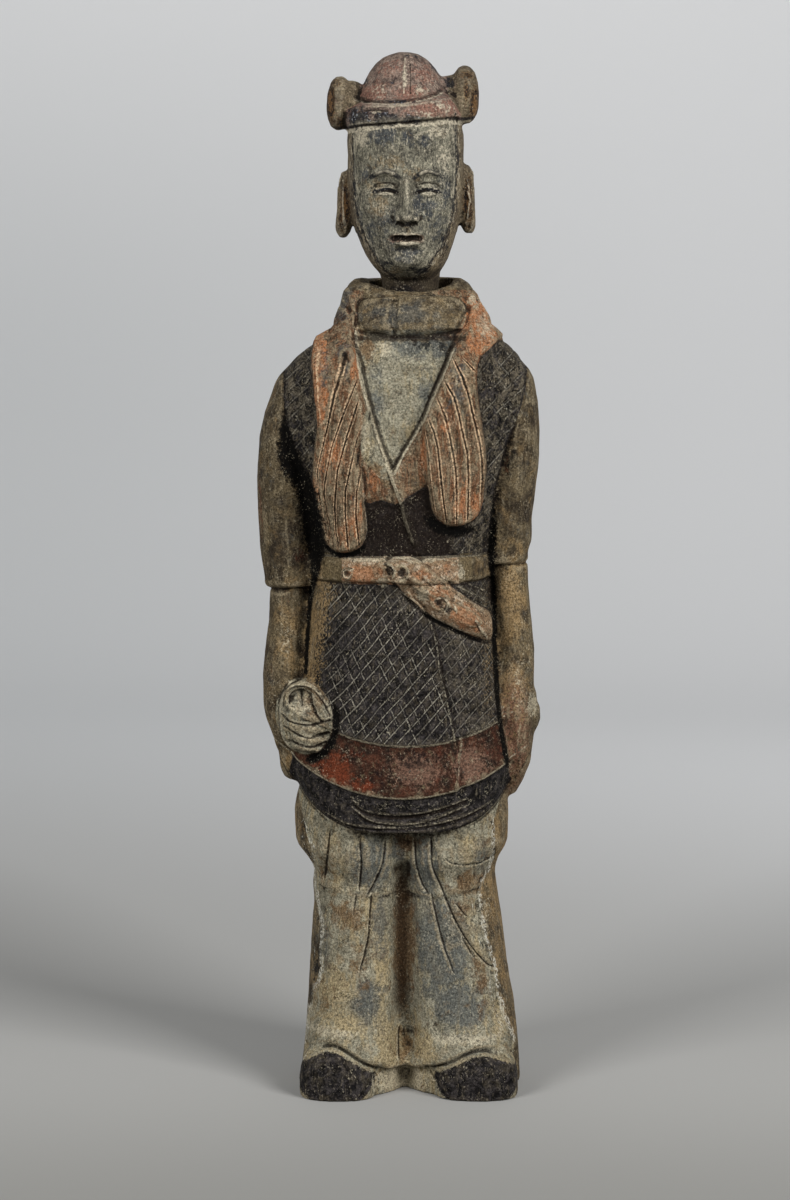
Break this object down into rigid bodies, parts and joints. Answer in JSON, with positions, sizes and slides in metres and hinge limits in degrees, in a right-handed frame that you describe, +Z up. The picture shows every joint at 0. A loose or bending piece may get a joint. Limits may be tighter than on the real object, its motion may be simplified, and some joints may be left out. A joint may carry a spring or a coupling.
{
  "type": "tomb figure",
  "caption": "Standing attendant in a belted, layered coat and loose trousers, in painted grey pottery; the head has its own neck tenon that rests in a socket in the collar.",
  "frame": {"origin": "on the underside, below the figure's upright axis", "axes": "+Z up, -Y towards the figure's front, +X towards the figure's left hand"},
  "size_m": [0.1526, 0.0987, 0.5513],
  "materials": {
    "body": "worn matt paint on unglazed grey pottery",
    "head": "worn white slip on unglazed grey pottery"
  },
  "bodies": {
    "root": {"body": "body", "head": "head"}
  },
  "joints": []
}
